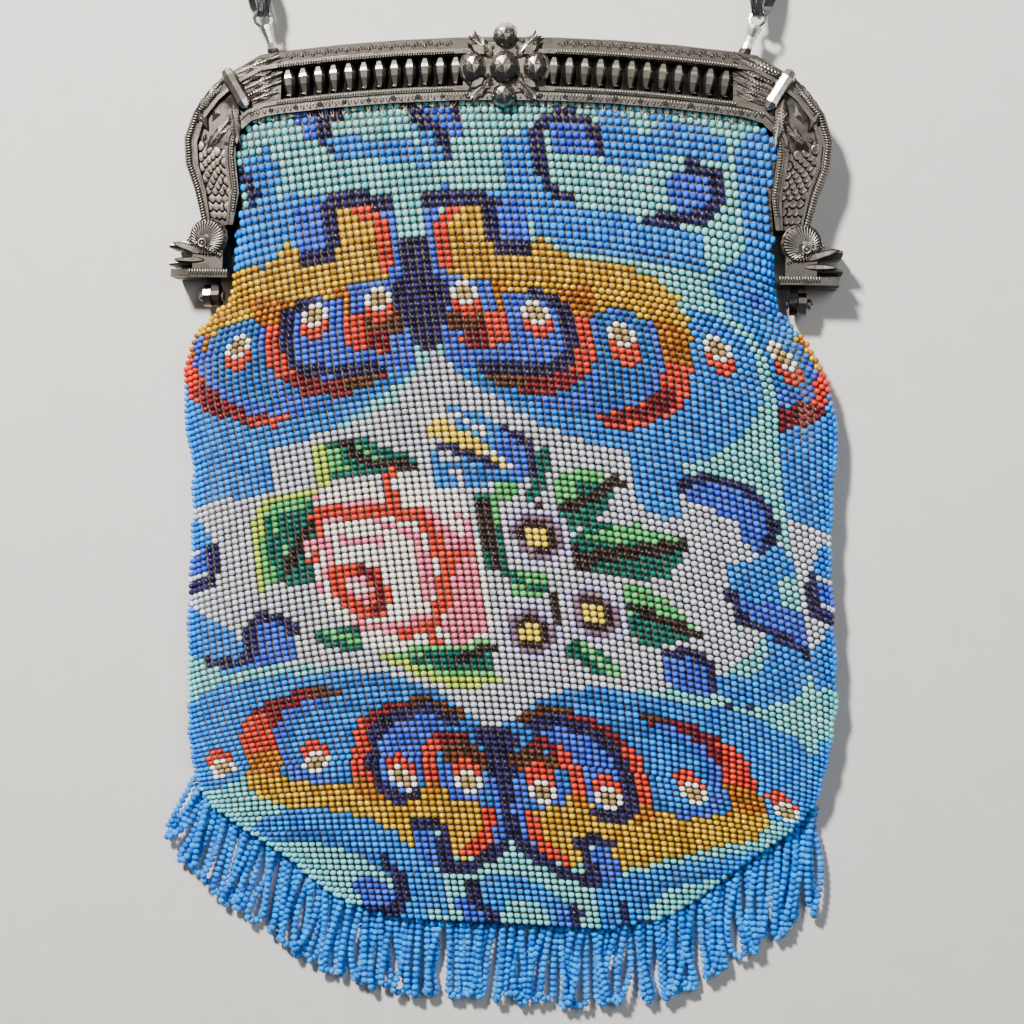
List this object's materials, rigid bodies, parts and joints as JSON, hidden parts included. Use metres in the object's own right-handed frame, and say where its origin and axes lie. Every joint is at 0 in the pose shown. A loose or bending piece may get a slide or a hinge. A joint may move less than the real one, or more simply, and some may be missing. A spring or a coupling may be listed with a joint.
{
  "type": "beaded flapper purse",
  "caption": "Beaded evening purse on a pierced metal frame with a push clasp, bird-head hinges, a link chain handle and a looped bead fringe.",
  "frame": {"origin": "on the flat back of the back frame, right behind the middle of the clasp", "axes": "+X to the right of a viewer who faces the purse's front, +Y towards the chain, +Z out of the front, away from the surface that the purse lies on"},
  "size_m": [0.1653, 0.3259, 0.0134],
  "materials": {
    "aged_silver": "aged silver plate, bright on its edges and dark in its hollows",
    "dark_silver": "oxidized silver plate",
    "beadwork": "glass seed beads knitted in rows with a tan thread",
    "fringe_beads": "opaque glossy sky blue glass beads"
  },
  "bodies": {
    "purse": {"front_frame": "aged_silver", "back_frame": "aged_silver", "hinge_pin_left": "dark_silver", "hinge_pin_right": "dark_silver", "bag": "beadwork", "fringe": "fringe_beads", "chain_link_01": "dark_silver", "chain_link_02": "dark_silver", "chain_link_03": "dark_silver", "chain_link_04": "dark_silver", "chain_link_05": "dark_silver", "chain_link_06": "dark_silver", "chain_link_07": "dark_silver", "chain_link_08": "dark_silver", "chain_link_09": "dark_silver", "chain_link_10": "dark_silver", "chain_link_11": "dark_silver", "chain_link_12": "dark_silver", "chain_link_13": "dark_silver", "chain_link_14": "dark_silver", "chain_link_15": "dark_silver", "chain_link_16": "dark_silver", "chain_link_17": "dark_silver", "chain_ring_01": "dark_silver", "chain_ring_02": "dark_silver", "chain_ring_03": "dark_silver", "chain_ring_04": "dark_silver", "chain_ring_05": "dark_silver", "chain_ring_06": "dark_silver", "chain_ring_07": "dark_silver", "chain_ring_08": "dark_silver", "chain_ring_09": "dark_silver", "chain_ring_10": "dark_silver", "chain_ring_11": "dark_silver", "chain_ring_12": "dark_silver", "chain_ring_13": "dark_silver", "chain_ring_14": "dark_silver", "chain_ring_15": "dark_silver", "chain_ring_16": "dark_silver"},
    "clasp_button": {"clasp_button": "aged_silver"}
  },
  "joints": [
    {"name": "button_press", "type": "slide", "parent": "purse", "child": "clasp_button", "axis": [0, -1, 0], "range_m": [0, 0.0012], "stiffness_N_per_m": 300}
  ]
}
